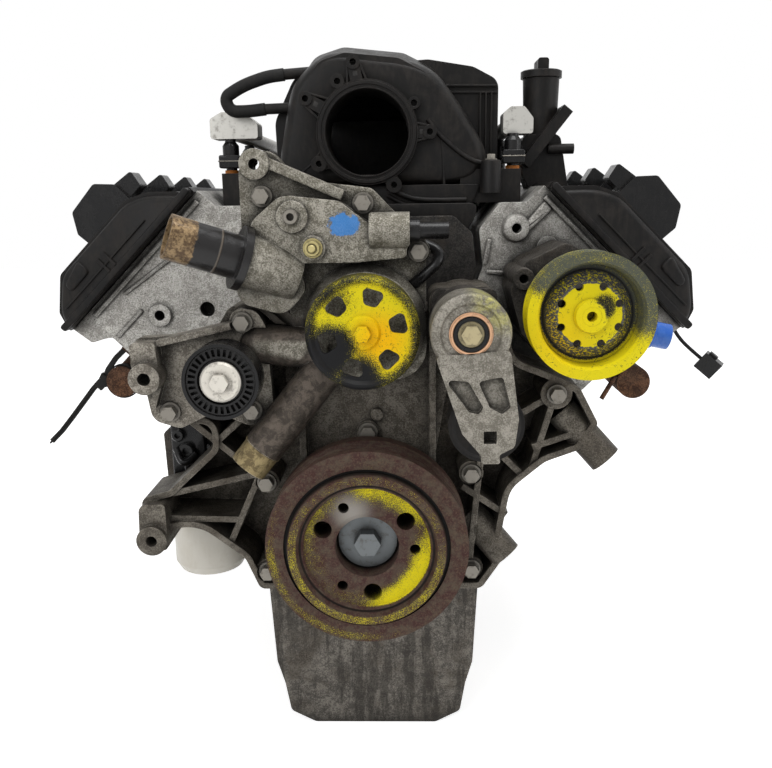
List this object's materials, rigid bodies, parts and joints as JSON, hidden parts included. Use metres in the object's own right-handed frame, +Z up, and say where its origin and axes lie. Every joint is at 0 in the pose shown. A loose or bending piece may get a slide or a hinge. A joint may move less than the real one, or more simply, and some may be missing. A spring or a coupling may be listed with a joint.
{
  "type": "car engine",
  "caption": "V-shaped car engine seen from its belt end, with intake, heads, front cover, coolant pump, pulleys, crank damper, tensioner, oil filter and sump.",
  "frame": {"origin": "centre of the crankshaft's rear flange face", "axes": "+Z up, -Y towards the front (belt end), +X to the right seen from the front; the crankshaft lies along Y"},
  "size_m": [0.7711, 0.696, 0.7537],
  "materials": {
    "cast_aluminium": "dull cast, oil-stained",
    "head_aluminium": "speckled cast",
    "block_iron": "black-painted cast iron",
    "rusty_iron": "surface rust",
    "damper_iron": "dark rust",
    "yellow_steel": "sprayed yellow over black, chipped",
    "steel": "plain machined",
    "dark_steel": "oiled",
    "black_plastic": "moulded, matt",
    "gloss_black": "gloss",
    "rubber": "matt",
    "bright_zinc": "plated",
    "orange_rubber": "satin",
    "blue_plastic": "gloss",
    "cream_paint": "gloss",
    "bronze_rust": "brown, stained",
    "bearing_alloy": "plain",
    "gasket": "matt"
  },
  "bodies": {
    "engine": {"engine_block": "block_iron", "main_bearing_caps": "block_iron", "main_bearing_shells": "bearing_alloy", "timing_chain": "dark_steel", "pistons": "cast_aluminium", "cylinder_head_right": "head_aluminium", "valve_cover_right": "black_plastic", "exhaust_manifold_right": "rusty_iron", "cylinder_head_left": "head_aluminium", "valve_cover_left": "black_plastic", "exhaust_manifold_left": "rusty_iron", "head_gaskets": "gasket", "ignition_coils": "black_plastic", "spark_plugs": "steel", "timing_cover": "cast_aluminium", "crank_front_seal": "rubber", "front_bolts": "steel", "water_pump_housing": "cast_aluminium", "idler_bolt": "steel", "accessory_bracket": "cast_aluminium", "tensioner_base": "cast_aluminium", "tensioner_bolt": "steel", "steering_pump": "cast_aluminium", "steering_bracket": "cast_aluminium", "port_cap": "blue_plastic", "oil_pan": "cast_aluminium", "oil_pan_bolts": "steel", "oil_filter_adapter": "cast_aluminium", "oil_filter": "cream_paint", "intake_manifold": "black_plastic", "fuel_rails": "bright_zinc", "fuel_injectors": "black_plastic", "injector_seals": "orange_rubber", "oil_filler_neck": "black_plastic", "breather_hose": "rubber", "upper_outlet": "bronze_rust", "temperature_sensor": "black_plastic", "bypass_tube": "gloss_black", "rear_seal_retainer": "cast_aluminium", "cable_tie": "gloss_black", "sensor_wire": "rubber", "wire_connector": "gloss_black"},
    "crank": {"crankshaft": "dark_steel", "crank_sprocket": "dark_steel", "damper_hub": "yellow_steel", "damper_ring": "damper_iron", "damper_rubber": "rubber", "crank_bolt": "steel"},
    "cam": {"camshaft": "dark_steel", "cam_sprocket": "dark_steel"},
    "pump_rotor": {"water_pump_shaft": "steel", "water_pump_pulley": "yellow_steel", "water_pulley_bolt": "steel"},
    "idler": {"idler_pulley": "gloss_black"},
    "tensioner": {"tensioner_arm": "cast_aluminium"},
    "tensioner_wheel": {"tensioner_pulley": "gloss_black"},
    "steering_rotor": {"steering_shaft": "steel", "steering_pulley": "yellow_steel"},
    "filler_lid": {"filler_cap": "black_plastic"}
  },
  "joints": [
    {"name": "crank_spin", "type": "hinge", "parent": "engine", "child": "crank", "pos_m": [0, -0.3, 0], "axis": [0, 1, 0], "continuous": true},
    {"name": "cam_spin", "type": "hinge", "parent": "engine", "child": "cam", "pos_m": [0, -0.3, 0.152], "axis": [0, 1, 0], "continuous": true},
    {"name": "pump_spin", "type": "hinge", "parent": "engine", "child": "pump_rotor", "pos_m": [0, -0.64, 0.203], "axis": [0, 1, 0], "continuous": true},
    {"name": "idler_spin", "type": "hinge", "parent": "engine", "child": "idler", "pos_m": [-0.127, -0.64, 0.161], "axis": [0, 1, 0], "continuous": true},
    {"name": "tensioner_swing", "type": "hinge", "parent": "engine", "child": "tensioner", "pos_m": [0.092, -0.67, 0.207], "axis": [0, 1, 0], "range_deg": [0, 24], "stiffness_Nm_per_rad": 30, "springref_deg": -28.65},
    {"name": "tensioner_spin", "type": "hinge", "parent": "tensioner", "child": "tensioner_wheel", "pos_m": [0.109, -0.645, 0.1195], "axis": [0, 1, 0], "continuous": true},
    {"name": "steering_spin", "type": "hinge", "parent": "engine", "child": "steering_rotor", "pos_m": [0.1985, -0.64, 0.216], "axis": [0, 1, 0], "continuous": true},
    {"name": "filler_twist", "type": "hinge", "parent": "engine", "child": "filler_lid", "pos_m": [0.19002, -0.4, 0.44405], "axis": [0, 0, 1], "range_deg": [-90, 0]}
  ],
  "couplings": [
    {"joint": "cam_spin", "follows": "crank_spin", "ratio": 0.5}
  ]
}
